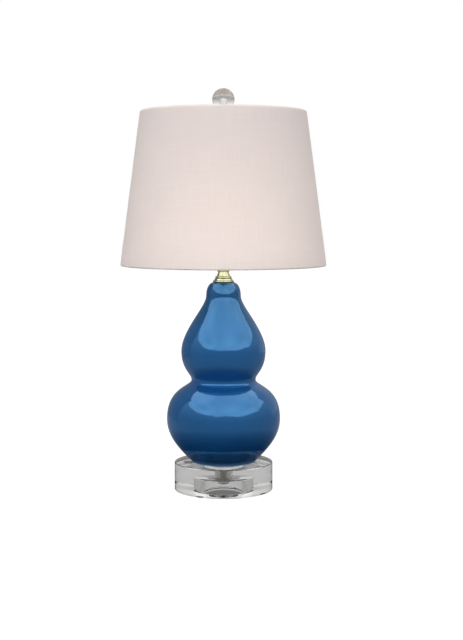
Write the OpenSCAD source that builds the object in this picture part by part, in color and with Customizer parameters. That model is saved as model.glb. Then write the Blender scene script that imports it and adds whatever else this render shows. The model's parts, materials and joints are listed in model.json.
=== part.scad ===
// Table lamp: double-gourd ceramic body on a clear crystal plinth, with a tapered fabric shade on a harp.
// Frame: +Z is up, and the origin is on the surface the lamp stands on, on the lamp's own axis.
// The lamp's front faces -Y. Sizes are in millimetres.

/* [Base] */
// Diameter of the crystal plinth
base_d = 134.4; // [124:0.2:150]
// Height of the crystal plinth
base_h = 38.1; // [30:0.1:50]
// Edge chamfer of the crystal plinth
base_chamfer = 1.2; // [0.5:0.1:3]
// Diameter of each rubber bumper
bumper_d = 12; // [8:0.5:16]
// Height of each rubber bumper
bumper_h = 1.5; // [1:0.1:4]

/* [Body] */
// Height of the ceramic body
body_h = 245.5; // [236:0.5:256]
// Wall thickness of the ceramic body
body_wall = 5; // [4:0.5:6]
// Diameter of the lower lobe
lower_d = 155; // [146:1:162]
// Diameter of the upper lobe
upper_d = 115.2; // [110:0.2:122]
// Diameter of the waist between the lobes
waist_d = 88.8; // [84:0.2:94]
// Diameter of the short neck above the upper lobe
neck_d = 47.2; // [46:0.2:52]

/* [Harp] */
// Height of the harp above its saddle
harp_h = 190.5; // [186:0.5:200]
// Distance between the two harp legs
harp_span = 50.8; // [48:0.2:56]
// Diameter of the harp wire
harp_wire_d = 3.4; // [3:0.1:3.8]

/* [Shade] */
// Outer diameter of the shade at its top
shade_top_d = 223.8; // [216:0.2:232]
// Outer diameter of the shade at its bottom
shade_bottom_d = 279.4; // [270:0.2:290]
// Upright height of the shade
shade_h = 208.6; // [206:0.2:212]
// Thickness of the shade fabric
fabric_t = 0.6; // [0.4:0.1:0.8]
// Thickness of the stiff liner that backs the fabric
liner_t = 0.8; // [0.6:0.1:1.2]

/* [Finial] */
// Diameter of the clear ball on top
ball_d = 30; // [26:0.5:34]

/* [Bulb] */
// Diameter of the bulb's glass envelope
bulb_d = 60; // [56:1:64]
// Overall length of the bulb
bulb_h = 111; // [108:1:114]

/* [Hidden] */

$fn = 96;
eps = 0.01;             // lets a cutter stand clear of the face it cuts
gap = 0.3;              // air between curved faces of pieces that move apart
fit = 0.08;             // radial clearance of a running fit

// Threaded rod: hollow pipe that ties the whole lamp together
rod_r = 4.85;
rod_bore_r = 3.2;
rod_hole_r = rod_r + 0.25;

// Plinth and the fastenings in its underside recess
base_r = base_d / 2;
base_z = bumper_h;
base_top = base_z + base_h;
bumper_r = bumper_d / 2;
bumper_ring_r = base_r - bumper_r - 3;
bumper_turn = 239;
recess_r = 27;
recess_h = 18.5;
plinth_hole_r = 8.2;    // drilled well clear of the rod
recess_roof = base_z + recess_h;
washer_r = 15.5;
washer_t = 1.6;
lock_washer_r = 8.5;
lock_washer_t = 1;
base_nut_r = 8.6;
base_nut_t = 4.5;
base_washer_z = recess_roof - washer_t;
base_lock_z = base_washer_z - lock_washer_t;
base_nut_z = base_lock_z - base_nut_t;
rod_z = base_nut_z - 1;

// Ceramic body: its outline runs up through five cubic curves, as [radius, height] above its foot
gasket_t = 0.8;
gasket_r = 40;
body_z = base_top + gasket_t;
body_top = body_z + body_h;
lower_r = lower_d / 2;
upper_r = upper_d / 2;
waist_r = waist_d / 2;
neck_r = neck_d / 2;
foot_r = 42;
foot_inner_r = 34;
foot_recess = 2;
glaze_r = 44.6;
glaze_z = 1.6;
floor_t = 8;
mouth_r = 7;
rim_r = 12;
lower_z = 0.244 * body_h;
waist_z = 0.4485 * body_h;
upper_z = 0.618 * body_h;
neck_z = 0.925 * body_h;
CURVES = [
    [[glaze_r, glaze_z], [glaze_r + 19, glaze_z + 18.6], [lower_r, lower_z - 23.7], [lower_r, lower_z]],
    [[lower_r, lower_z], [lower_r, lower_z + 37.4], [waist_r + 5.7, waist_z - 7.9], [waist_r, waist_z]],
    [[waist_r, waist_z], [waist_r - 3.4, waist_z + 9.4], [upper_r, upper_z - 28.4], [upper_r, upper_z]],
    [[upper_r, upper_z], [upper_r, upper_z + 28], [neck_r, neck_z - 15], [neck_r, neck_z]],
    [[neck_r, neck_z], [neck_r, neck_z + 7], [rim_r + 9.5, body_h], [rim_r, body_h]]
];
CURVE_STEPS = 12;

// Cord outlet: a bushed hole low on the back, square to the body's surface
outlet_step = 0.55;
outlet_r = 5;
bushing_flange_r = 8;
bushing_flange_t = 2;
bushing_length = 9;
bushing_bore_r = 3.3;

// Brass stack from the body's mouth up to the socket
plug_h = 4;
cap_r = 14.6;
cap_flange_t = 2.4;
cap_h = 5;
ring_r = 11.3;
ring_h = 3.2;
neck_h = 14.5;
neck_tube_r = 7.1;
nut_r = 8.4;
nut_h = 2.9;
cap_z = body_top;
ring_z = cap_z + cap_h;
neck_tube_z = ring_z + ring_h;
nut_z = neck_tube_z + neck_h;

// Harp: each half is a straight leg, three tangent arcs and a straight between the last two
saddle_z = nut_z + nut_h;
saddle_t = 1.5;
saddle_top = saddle_z + saddle_t;
leg_x = harp_span / 2;
wire_r = harp_wire_d / 2;
post_top = saddle_top + 7;
harp_z = post_top + 0.2;
harp_top = saddle_z + harp_h;
leg_h = 20.6;
sweep_out = 38;         // degrees that a leg turns outward before it turns back in
out_bend_r = 40;
bulge_r = 75;
crown_bend_r = 16;
crown_half = 6;
harp_plate_r = 6.5;
harp_plate_t = 2.8;
crown_z = harp_top - wire_r;
bulge_x = leg_x + out_bend_r * (1 - cos(sweep_out)) + bulge_r * (1 - cos(sweep_out));
bulge_z = harp_z + leg_h + (out_bend_r + bulge_r) * sin(sweep_out);
// The straight between bulge and crown, and the turn of the bulge, close the path exactly
close_x = crown_half + bulge_r - bulge_x;
close_z = crown_z - bulge_z - crown_bend_r;
bend_diff = bulge_r - crown_bend_r;
straight_l = sqrt(close_x * close_x + close_z * close_z - bend_diff * bend_diff);
sweep_in = atan2(close_z, close_x) - atan2(straight_l, bend_diff);
ferrule_r = 3.2;
ferrule_h = 13;

// Stud on the harp's crown, for the shade and the finial
stud_r = 3.1;
stud_hole_r = 2.4;
stud_flange_r = 6;
stud_flange_t = 1.4;
stud_l = 11.5;
stud_flange_z = harp_top + 0.1;
stud_z = stud_flange_z + stud_flange_t;

// Lamp socket
socket_z = saddle_top;
hub_r = 7.2;
hub_h = 4;
socket_cap_h = 18;
socket_cap_r = 16.8;
sheet_t = 0.7;
shell_r = 17.6;
shell_z = socket_z + 14;
shell_h = 45;
shell_liner_r = shell_r - sheet_t - 0.3;
shell_liner_z = socket_z + socket_cap_h + 1;
shell_liner_h = 40;
core_r = 15.4;
core_z = shell_liner_z + 1;
core_h = 13;
screw_shell_z = core_z + core_h + 0.2;
screw_shell_h = 24;
screw_shell_r = 14;
contact_t = 0.6;
contact_rise = 2.4;
set_screw_r = 1.5;
set_screw_z = socket_z + hub_h / 2;
terminal_z = core_z + core_h / 2;
terminal_x = 11.2;

// Rotary switch, on the front of the socket
switch_z = core_z + core_h / 2;
shaft_r = 2;
shaft_in = 9;
shaft_out = 31;
knob_r = 6.2;
knob_h = 11;
knob_y = 21.5;
knob_flutes = 18;

// Bulb
bulb_z = screw_shell_z + 0.2 + contact_rise + contact_t + gap;
bulb_r = bulb_d / 2;
tip_r = 3.5;
tip_h = 1.8;
insulator_r = 9;
bulb_base_r = screw_shell_r - 0.7 - gap;
bulb_base_z = bulb_z + 4;
bulb_base_h = 23;
bulb_neck_r = 13.6;
bulb_wall = 1;
bulb_top = bulb_z + bulb_h;
bulb_centre = bulb_top - bulb_r;
bulb_neck_z = bulb_base_z + bulb_base_h + 0.1;

// Shade
ring_wire_r = 1.6;
shade_top = harp_top + 14.9;
shade_bottom = shade_top - shade_h;
shade_top_r = shade_top_d / 2;
shade_bottom_r = shade_bottom_d / 2;
skin_gap = 0.1;
hem_t = 0.6;
hem_band = 12;
edge_gap = 0.3;
liner_bottom = shade_bottom + hem_t + edge_gap;
liner_top = shade_top - hem_t - edge_gap;
frame_inset = fabric_t + liner_t + 2 * skin_gap + ring_wire_r;
bottom_ring_z = liner_bottom + ring_wire_r;
top_ring_z = liner_top - ring_wire_r;
spider_arms = 3;
spider_turn = 120;
arm_r = 1.3;
spider_washer_r = 13;
spider_washer_t = 1.5;
spider_hole_r = stud_r + 0.4;
spider_z = stud_z + gap;

// Finial
ball_r = ball_d / 2;
finial_z = spider_z + spider_washer_t + gap;
finial_h = 13.6;
finial_flange_r = 9;
finial_waist_r = 5.6;
finial_cup_r = 9.4;
ball_z = shade_top + 14.6;
stud_top = stud_z + stud_l;

// ---- Shared shapes and functions ----

// Point on a cubic curve with four control points, t from 0 to 1
function curve_point(c, t) =
    pow(1 - t, 3) * c[0] + 3 * pow(1 - t, 2) * t * c[1]
    + 3 * (1 - t) * t * t * c[2] + pow(t, 3) * c[3];

// Direction of travel on that curve
function curve_way(c, t) =
    pow(1 - t, 2) * (c[1] - c[0]) + 2 * (1 - t) * t * (c[2] - c[1]) + t * t * (c[3] - c[2]);

// That point, moved a distance to the curve's left-hand side
function curve_beside(c, t, d) =
    let (w = curve_way(c, t), l = norm(w)) curve_point(c, t) + d / l * [-w[1], w[0]];

// Outline through a list of curves, moved aside by d, without repeating the shared ends
function outline(curves, steps, d) = [
    for (c = curves) for (i = [0 : steps - 1]) curve_beside(c, i / steps, d),
    curve_beside(curves[len(curves) - 1], 1, d)
];

function reversed(list) = [for (i = [len(list) - 1 : -1 : 0]) list[i]];

// Outer radius of the shade at a height
function shade_r(z) =
    shade_bottom_r + (shade_top_r - shade_bottom_r) * (z - shade_bottom) / shade_h;

// Points of a rounded edge: centre, radius, and the angles it runs between
function arc_points(centre, r, from, to, steps = 6) =
    [for (i = [0 : steps]) centre + r * [cos(from + (to - from) * i / steps),
                                         sin(from + (to - from) * i / steps)]];

// Flat ring, from its underside up
module ring_disc(z, outer_r, inner_r, h) {
    translate([0, 0, z])
        difference() {
            cylinder(h = h, r = outer_r);
            translate([0, 0, -eps]) cylinder(h = h + 2 * eps, r = inner_r);
        }
}

// Hex nut with a plain bore
module hex_nut(z, corner_r, h) {
    translate([0, 0, z])
        difference() {
            cylinder(h = h, r = corner_r, $fn = 6);
            translate([0, 0, -eps]) cylinder(h = h + 2 * eps, r = rod_hole_r);
        }
}

// Sloping skin of the shade between two heights, set in from its outside
module shade_skin(z0, z1, inset, t) {
    rotate_extrude()
        polygon([
            [shade_r(z0) - inset - t, z0], [shade_r(z0) - inset, z0],
            [shade_r(z1) - inset, z1], [shade_r(z1) - inset - t, z1]
        ]);
}

// Wire hoop of the shade frame
module hoop(z) {
    rotate_extrude()
        translate([shade_r(z) - frame_inset, z]) circle(r = ring_wire_r, $fn = 32);
}

// Turned fabric edge: closes the shade's rim and runs back inside, round the hoop
module hem(edge_z, way) {
    outer_r = shade_r(edge_z) - fabric_t - skin_gap;
    inner_r = shade_r(edge_z) - frame_inset - ring_wire_r - 0.2 - hem_t;
    end_z = edge_z + way * hem_band;
    slope = shade_r(end_z) - shade_r(edge_z);
    rotate_extrude()
        polygon([
            [inner_r, edge_z], [outer_r, edge_z],
            [outer_r, edge_z + way * hem_t], [inner_r + hem_t, edge_z + way * hem_t],
            [inner_r + hem_t + slope, end_z], [inner_r + slope, end_z]
        ]);
}

// Arms of the spider, from the washer out to the top hoop
module spider_spokes(r) {
    reach = shade_r(top_ring_z) - frame_inset;
    inner = spider_washer_r - 2;
    rise = top_ring_z - spider_z - spider_washer_t / 2;
    slope = atan2(rise, reach - inner);
    for (i = [0 : spider_arms - 1])
        rotate([0, 0, spider_turn + i * 360 / spider_arms])
            translate([inner, 0, spider_z + spider_washer_t / 2])
                rotate([0, 90 - slope, 0])
                    cylinder(h = (reach - inner) / cos(slope), r = r, $fn = 32);
}

// Round wire swept along a path of [x, z] points in the XZ plane, square to it at every point
module swept_wire(path, r, sides = 12) {
    last = len(path) - 1;
    ways = [for (i = [0 : last]) path[min(i + 1, last)] - path[max(i - 1, 0)]];
    rings = [
        for (i = [0 : last]) for (k = [0 : sides - 1])
            let (w = ways[i] / norm(ways[i]), c = r * cos(k * 360 / sides), s = r * sin(k * 360 / sides))
                [path[i][0] - c * w[1], s, path[i][1] + c * w[0]]
    ];
    walls = [
        for (i = [0 : last - 1]) for (k = [0 : sides - 1])
            let (next = (k + 1) % sides)
                [i * sides + k, i * sides + next, (i + 1) * sides + next, (i + 1) * sides + k]
    ];
    first_end = [for (k = [sides - 1 : -1 : 0]) k];
    last_end = [for (k = [0 : sides - 1]) last * sides + k];
    polyhedron(rings, concat(walls, [first_end, last_end]));
}

// ---- Plinth ----

module bumper_feet() {
    color("dimgray")
        for (i = [0 : 3])
            rotate([0, 0, bumper_turn + i * 90])
                translate([bumper_ring_r, 0, 0])
                    rotate_extrude()
                        polygon([
                            [0, 0], [bumper_r - 0.6, 0], [bumper_r, bumper_h], [0, bumper_h]
                        ]);
}

module crystal_base() {
    color("gainsboro", 0.4)
        rotate_extrude()
            polygon([
                [recess_r, base_z], [base_r - base_chamfer, base_z],
                [base_r, base_z + base_chamfer], [base_r, base_top - base_chamfer],
                [base_r - base_chamfer, base_top], [plinth_hole_r, base_top],
                [plinth_hole_r, recess_roof], [recess_r, recess_roof]
            ]);
}

module base_washer() {
    color("silver") ring_disc(base_washer_z, washer_r, rod_hole_r, washer_t);
}

module base_lock_washer() {
    color("silver") ring_disc(base_lock_z, lock_washer_r, rod_hole_r, lock_washer_t);
}

module base_nut() {
    color("silver") hex_nut(base_nut_z, base_nut_r, base_nut_t);
}

module seat_gasket() {
    color("whitesmoke") ring_disc(base_top, gasket_r, rod_hole_r, gasket_t);
}

// ---- Ceramic body ----

module gourd_body() {
    outer = outline(CURVES, CURVE_STEPS, 0);
    inner = [for (p = outline(CURVES, CURVE_STEPS, body_wall)) if (p[1] > floor_t) p];
    outlet = curve_point(CURVES[0], outlet_step);
    way = curve_way(CURVES[0], outlet_step);
    color("steelblue")
        translate([0, 0, body_z])
            difference() {
                rotate_extrude()
                    polygon(concat(
                        [
                            [rod_hole_r, foot_recess], [foot_inner_r, foot_recess],
                            [foot_inner_r, 0], [foot_r, 0]
                        ],
                        outer,
                        [[mouth_r, body_h], [mouth_r, body_h - body_wall]],
                        reversed(inner),
                        [[inner[0][0] - 2, floor_t], [rod_hole_r, floor_t]]
                    ));
                outlet_place(outlet, way)
                    translate([0, 0, -2 * body_wall])
                        cylinder(h = 4 * body_wall, r = outlet_r);
            }
}

// Puts +Z along the outward normal of the body's back, at the outlet
module outlet_place(at, way) {
    translate([0, at[0], at[1]])
        rotate([-90 - atan2(way[0], way[1]), 0, 0])
            children();
}

module cord_bushing() {
    color("ivory")
        translate([0, 0, body_z])
            outlet_place(curve_point(CURVES[0], outlet_step), curve_way(CURVES[0], outlet_step))
                rotate_extrude()
                    polygon([
                        [bushing_bore_r, bushing_flange_t - bushing_length],
                        [outlet_r - 0.15, bushing_flange_t - bushing_length],
                        [outlet_r - 0.15, 0.6], [bushing_flange_r, 0.6],
                        [bushing_flange_r - 1, 0.6 + bushing_flange_t],
                        [bushing_bore_r, 0.6 + bushing_flange_t]
                    ]);
}

module threaded_rod() {
    color("gold") ring_disc(rod_z, rod_r, rod_bore_r, socket_z + hub_h - rod_z);
}

module mouth_plug() {
    color("dimgray") ring_disc(body_top - plug_h, mouth_r - 0.1, rod_hole_r, plug_h);
}

// ---- Brass neck ----

module vase_cap() {
    bead = cap_flange_t / 2;
    color("gold")
        translate([0, 0, cap_z])
            rotate_extrude()
                polygon(concat(
                    [[rod_hole_r, 0]],
                    arc_points([cap_r - bead, bead], bead, -90, 90),
                    [[ring_r + 2, cap_flange_t], [ring_r + 0.6, cap_h], [rod_hole_r, cap_h]]
                ));
}

module neck_ring() {
    bead = ring_h / 2;
    color("gold")
        translate([0, 0, ring_z])
            rotate_extrude()
                polygon(concat(
                    [[rod_hole_r, 0]],
                    arc_points([ring_r - bead, bead], bead, -90, 90),
                    [[rod_hole_r, ring_h]]
                ));
}

module neck_tube() {
    foot_spread = 1.9;
    bead_r = 1.1;
    bead_z = 0.476 * neck_h;
    spindle = [
        [neck_tube_r + foot_spread, 0], [neck_tube_r + 1.5, 1.8],
        [neck_tube_r + 0.6, 3.4], [neck_tube_r, bead_z - bead_r]
    ];
    color("gold")
        translate([0, 0, neck_tube_z])
            rotate_extrude()
                polygon(concat(
                    [[rod_hole_r, 0]],
                    outline([spindle], 8, 0),
                    arc_points([neck_tube_r, bead_z], bead_r, -90, 90),
                    [[neck_tube_r - 0.6, bead_z + bead_r], [neck_tube_r - 0.6, neck_h], [rod_hole_r, neck_h]]
                ));
}

module neck_nut() {
    color("gold") hex_nut(nut_z, nut_r, nut_h);
}

// ---- Harp ----

module harp_saddle() {
    plate_w = 12;
    color("gold")
        difference() {
            union() {
                translate([-leg_x, -plate_w / 4, saddle_z])
                    cube([2 * leg_x, plate_w / 2, saddle_t]);
                translate([0, 0, saddle_z]) cylinder(h = saddle_t, r = 10);
                for (side = [-1, 1])
                    translate([side * leg_x, 0, saddle_z]) {
                        cylinder(h = saddle_t, r = plate_w / 4);
                        cylinder(h = post_top - saddle_z, r = wire_r);
                    }
            }
            translate([0, 0, saddle_z - eps]) cylinder(h = saddle_t + 2 * eps, r = rod_hole_r);
        }
}

// Sleeve that locks a harp leg to the saddle's post
module ferrule(side) {
    lip = 0.5;
    color("gold")
        translate([side * leg_x, 0, saddle_top + 0.1])
            rotate_extrude()
                polygon([
                    [wire_r + fit, 0], [ferrule_r, 0], [ferrule_r, ferrule_h - 2 * lip],
                    [ferrule_r + lip, ferrule_h - lip], [ferrule_r, ferrule_h],
                    [wire_r + fit, ferrule_h]
                ]);
}

module ferrule_left() {
    ferrule(-1);
}

module ferrule_right() {
    ferrule(1);
}

// Right half of the harp's bow, from the top of its leg up to the crown
function harp_bow() =
    let (
        bend_z = harp_z + leg_h,
        bulge_centre = [bulge_x - bulge_r, bulge_z],
        crown_centre = [crown_half, crown_z - crown_bend_r]
    )
        concat(
            arc_points([leg_x + out_bend_r, bend_z], out_bend_r, 180, 180 - sweep_out, 6),
            [for (i = [1 : 10]) arc_points(bulge_centre, bulge_r, -sweep_out, sweep_in, 10)[i]],
            arc_points(crown_centre, crown_bend_r, sweep_in, 90, 6)
        );

module harp_wire() {
    right = harp_bow();
    left = [for (p = reversed(right)) [-p[0], p[1]]];
    color("gold")
        difference() {
            union() {
                swept_wire(concat(right, left), wire_r);
                for (side = [-1, 1])
                    translate([side * leg_x, 0, harp_z]) cylinder(h = leg_h, r = wire_r);
                translate([0, 0, crown_z - harp_plate_t / 2])
                    cylinder(h = harp_plate_t, r = harp_plate_r);
            }
            translate([0, 0, crown_z - 2 * wire_r])
                cylinder(h = 4 * wire_r, r = stud_hole_r + 0.1);
        }
}

module harp_stud() {
    rivet_z = crown_z - wire_r - 1.4;
    color("gold")
        union() {
            translate([0, 0, rivet_z]) cylinder(h = 1.2, r = 4);
            translate([0, 0, rivet_z]) cylinder(h = stud_flange_z - rivet_z, r = stud_hole_r);
            translate([0, 0, stud_flange_z]) cylinder(h = stud_flange_t, r = stud_flange_r);
            translate([0, 0, stud_z]) cylinder(h = stud_l, r = stud_r);
        }
}

// ---- Socket ----

module socket_cap() {
    cup = [
        [hub_r, hub_h], [hub_r + 5, hub_h + 0.5],
        [socket_cap_r, hub_h + 4], [socket_cap_r, hub_h + 9]
    ];
    color("gold")
        translate([0, 0, socket_z])
            difference() {
                rotate_extrude()
                    polygon(concat(
                        [[rod_hole_r, 0], [hub_r, 0]],
                        outline([cup], 10, 0),
                        [[socket_cap_r, socket_cap_h], [socket_cap_r - sheet_t, socket_cap_h]],
                        reversed(outline([cup], 10, sheet_t)),
                        [[rod_hole_r, hub_h + sheet_t]]
                    ));
                translate([0, 0, set_screw_z - socket_z])
                    rotate([-90, 0, 0])
                        cylinder(h = hub_r + 1, r = set_screw_r + 0.1, $fn = 32);
            }
}

module set_screw() {
    slot_w = 0.6;
    color("silver")
        difference() {
            translate([0, rod_hole_r + 0.1, set_screw_z])
                rotate([-90, 0, 0])
                    cylinder(h = 4, r = set_screw_r, $fn = 32);
            translate([-slot_w / 2, rod_hole_r + 3.4, set_screw_z - 2])
                cube([slot_w, 2, 4]);
        }
}

module socket_shell() {
    rim = 0.6;
    color("gold")
        difference() {
            translate([0, 0, shell_z])
                rotate_extrude()
                    polygon([
                        [shell_r - sheet_t, 0], [shell_r + 0.4, 0], [shell_r, 1.5],
                        [shell_r, shell_h - 2 * rim], [shell_r + rim, shell_h - rim],
                        [shell_r, shell_h], [shell_r - sheet_t, shell_h]
                    ]);
            switch_hole(3.4);
        }
}

module shell_liner() {
    color("tan")
        difference() {
            ring_disc(shell_liner_z, shell_liner_r, shell_liner_r - sheet_t, shell_liner_h);
            switch_hole(3.6);
        }
}

// Round hole for the switch shaft, through the front wall
module switch_hole(r) {
    translate([0, 0, switch_z])
        rotate([90, 0, 0])
            cylinder(h = shell_r + 5, r = r, $fn = 32);
}

module socket_body() {
    pocket_w = 8;
    color("black")
        difference() {
            translate([0, 0, core_z]) cylinder(h = core_h, r = core_r);
            translate([0, 0, core_z - eps]) cylinder(h = 4, r = 6);
            translate([0, -shaft_in + 0.2, switch_z])
                rotate([90, 0, 0])
                    cylinder(h = core_r, r = shaft_r + fit);
            for (side = [-1, 1]) {
                translate([side * (terminal_x + 5), 0, terminal_z])
                    cube([10, pocket_w, pocket_w], center = true);
                translate([side * terminal_x, 0, terminal_z])
                    rotate([0, side * -90, 0])
                        cylinder(h = 5, r = 1.6, $fn = 32);
            }
        }
}

module terminal_screws() {
    color("gold")
        for (side = [-1, 1])
            translate([side * terminal_x, 0, terminal_z])
                rotate([0, side * 90, 0]) {
                    translate([0, 0, 0.1]) cylinder(h = 2, r = 3, $fn = 32);
                    translate([0, 0, -4.5]) cylinder(h = 5, r = 1.5, $fn = 32);
                }
}

module screw_shell() {
    wall = 0.7;
    seat_r = 8;
    color("goldenrod")
        translate([0, 0, screw_shell_z])
            rotate_extrude()
                polygon([
                    [seat_r, 0], [screw_shell_r, 0], [screw_shell_r, screw_shell_h],
                    [screw_shell_r - wall, screw_shell_h], [screw_shell_r - wall, wall],
                    [seat_r, wall]
                ]);
}

// Spring tongue under the bulb's tip
module centre_contact() {
    foot_l = 6;
    tongue_w = 4;
    color("goldenrod")
        translate([0, 0, screw_shell_z + 0.1]) {
            translate([-foot_l, -tongue_w / 2, 0]) cube([foot_l, tongue_w, contact_t]);
            translate([-contact_t, -tongue_w / 2, 0])
                cube([contact_t, tongue_w, contact_rise + contact_t]);
            translate([-contact_t, -tongue_w / 2, contact_rise]) cube([foot_l - 2, tongue_w, contact_t]);
        }
}

module switch_shaft() {
    color("silver")
        translate([0, -shaft_in, switch_z])
            rotate([90, 0, 0])
                cylinder(h = shaft_out - shaft_in, r = shaft_r);
}

module switch_knob() {
    socket_depth = shaft_out - knob_y;
    color("black")
        translate([0, -knob_y, switch_z])
            rotate([90, 0, 0])
                difference() {
                    rotate_extrude()
                        polygon(concat(
                            [[0, 0], [knob_r - 0.6, 0], [knob_r, 0.6]],
                            arc_points([knob_r - 1.5, knob_h - 1.5], 1.5, 0, 90),
                            [[0, knob_h]]
                        ));
                    translate([0, 0, -eps]) cylinder(h = socket_depth + 0.1, r = shaft_r + 0.02);
                    for (i = [0 : knob_flutes - 1])
                        rotate([0, 0, i * 360 / knob_flutes])
                            translate([knob_r + 0.3, 0, 1.5])
                                cylinder(h = knob_h, r = 0.7, $fn = 16);
                }
}

// ---- Bulb ----

module bulb_base() {
    wall = 0.5;
    color("silver")
        translate([0, 0, bulb_base_z])
            rotate_extrude()
                polygon([
                    [insulator_r + 0.2, 0], [bulb_base_r - 1, 0], [bulb_base_r, 1.4],
                    [bulb_base_r, bulb_base_h], [bulb_base_r - wall, bulb_base_h],
                    [bulb_base_r - wall, 1.6], [insulator_r + 0.2, 1.6]
                ]);
}

module bulb_insulator() {
    color("black")
        translate([0, 0, bulb_z + tip_h + 0.1])
            cylinder(h = bulb_base_z - bulb_z, r1 = tip_r + 0.6, r2 = insulator_r);
}

module bulb_tip() {
    dome = 0.6;
    color("silver")
        translate([0, 0, bulb_z])
            rotate_extrude()
                polygon(concat(
                    [[0, 0]],
                    arc_points([tip_r - dome, dome], dome, -90, 0),
                    [[tip_r, tip_h], [0, tip_h]]
                ));
}

module bulb_glass() {
    // The envelope: a throat that swells out of the base, then a round end
    shoulder = 28;
    start = [bulb_neck_r, bulb_neck_z];
    join = [0, bulb_centre] + bulb_r * [cos(shoulder), -sin(shoulder)];
    throat = [
        start, start + [0, 12],
        join - 16 * [sin(shoulder), cos(shoulder)], join
    ];
    crown = arc_points([0, bulb_centre], bulb_r, -shoulder, 90, 16);
    inner_crown = arc_points([0, bulb_centre], bulb_r - bulb_wall, 90, -shoulder, 16);
    color("white", 0.7)
        rotate_extrude()
            polygon(concat(
                outline([throat], 8, 0), [for (i = [1 : len(crown) - 1]) crown[i]],
                inner_crown, [for (i = [7 : -1 : 0]) curve_beside(throat, i / 8, bulb_wall)]
            ));
}

// ---- Shade ----

module spider() {
    color("gold")
        difference() {
            union() {
                translate([0, 0, spider_z]) cylinder(h = spider_washer_t, r = spider_washer_r);
                spider_spokes(arm_r);
            }
            translate([0, 0, spider_z - 5]) cylinder(h = 10, r = spider_hole_r);
        }
}

module top_ring() {
    color("gold") hoop(top_ring_z);
}

module bottom_ring() {
    color("gold") hoop(bottom_ring_z);
}

module shade_liner() {
    color("white")
        shade_skin(liner_bottom, liner_top, fabric_t + skin_gap, liner_t);
}

module shade_fabric() {
    color("mistyrose") shade_skin(shade_bottom, shade_top, 0, fabric_t);
}

module top_hem() {
    color("mistyrose")
        difference() {
            hem(shade_top, -1);
            spider_spokes(arm_r + 0.5);
        }
}

module bottom_hem() {
    color("mistyrose") hem(shade_bottom, 1);
}

// ---- Finial ----

module finial_base() {
    waist = [
        [finial_flange_r, 1.6], [finial_waist_r, 2.4],
        [finial_waist_r - 1, 7], [finial_cup_r, finial_h - 3]
    ];
    color("gold")
        difference() {
            translate([0, 0, finial_z])
                rotate_extrude()
                    polygon(concat(
                        [[0, 0], [finial_flange_r, 0]],
                        outline([waist], 10, 0),
                        [[finial_cup_r, finial_h], [0, finial_h]]
                    ));
            translate([0, 0, ball_z]) sphere(r = ball_r + 0.05);
            translate([0, 0, finial_z - eps]) cylinder(h = stud_top - finial_z + 0.3, r = stud_r + fit);
        }
}

module finial_ball() {
    color("gainsboro", 0.4)
        translate([0, 0, ball_z]) sphere(r = ball_r);
}

bumper_feet();
crystal_base();
base_washer();
base_lock_washer();
base_nut();
seat_gasket();
gourd_body();
cord_bushing();
threaded_rod();
mouth_plug();
vase_cap();
neck_ring();
neck_tube();
neck_nut();
harp_saddle();
ferrule_left();
ferrule_right();
harp_wire();
harp_stud();
socket_cap();
set_screw();
socket_shell();
shell_liner();
socket_body();
screw_shell();
centre_contact();
terminal_screws();
switch_shaft();
switch_knob();
bulb_base();
bulb_insulator();
bulb_tip();
bulb_glass();
spider();
top_ring();
bottom_ring();
shade_liner();
shade_fabric();
top_hem();
bottom_hem();
finial_base();
finial_ball();
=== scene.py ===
"""Looks of the table lamp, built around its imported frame.

Shapes are worked out in millimetres, in the frame's own axes, and new_piece() turns them into metres.
The lamp's front faces -Y, and its shade's seam is at the back.
"""
import json
from math import acos, atan2, cos, degrees, dist, hypot, pi, radians, sin, sqrt, tan

import bmesh
import bpy
from mathutils import Matrix, Vector, noise


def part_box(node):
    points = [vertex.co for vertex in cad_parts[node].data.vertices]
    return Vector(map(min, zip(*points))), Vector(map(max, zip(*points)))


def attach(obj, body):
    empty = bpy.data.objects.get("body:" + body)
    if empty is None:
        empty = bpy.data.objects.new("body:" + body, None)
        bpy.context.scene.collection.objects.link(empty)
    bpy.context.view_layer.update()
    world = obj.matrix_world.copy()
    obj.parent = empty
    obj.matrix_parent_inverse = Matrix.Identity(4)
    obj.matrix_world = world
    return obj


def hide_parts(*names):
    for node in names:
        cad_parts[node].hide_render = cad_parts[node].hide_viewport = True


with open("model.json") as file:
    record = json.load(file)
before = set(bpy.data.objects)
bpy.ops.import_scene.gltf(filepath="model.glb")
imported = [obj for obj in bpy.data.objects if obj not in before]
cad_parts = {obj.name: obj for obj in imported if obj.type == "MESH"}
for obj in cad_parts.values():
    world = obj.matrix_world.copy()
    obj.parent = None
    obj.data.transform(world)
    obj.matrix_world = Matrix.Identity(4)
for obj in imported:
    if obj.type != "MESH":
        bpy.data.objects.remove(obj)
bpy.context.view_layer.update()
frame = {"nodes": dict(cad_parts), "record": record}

MM = 0.001
TURN = 2 * pi
record = frame["record"]
BODY_OF = {node: body for body, nodes in record["behaviour"]["bodies"].items() for node in nodes}

BORE_R = 5.1  # of every part threaded on the lamp's rod
ROD_PITCH = 0.94
BULB_PITCH = 3.6
RECESS_R = 27


# ---- Shapes: each one is (points, faces), in millimetres ----


def span(node):
    """Lowest and highest corner of a CAD node, in millimetres."""
    low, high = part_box(node)
    return low / MM, high / MM


def cubic(c, steps):
    """Points along a cubic curve with four control points."""
    points = []
    for i in range(steps + 1):
        t = i / steps
        weights = ((1 - t) ** 3, 3 * (1 - t) ** 2 * t, 3 * (1 - t) * t * t, t**3)
        points.append([sum(w * p[k] for w, p in zip(weights, c)) for k in (0, 1)])
    return points


def chain(curves, steps):
    """Points along cubic curves that follow on from each other."""
    points = []
    for c in curves:
        points += cubic(c, steps)[bool(points):]
    return points


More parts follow.
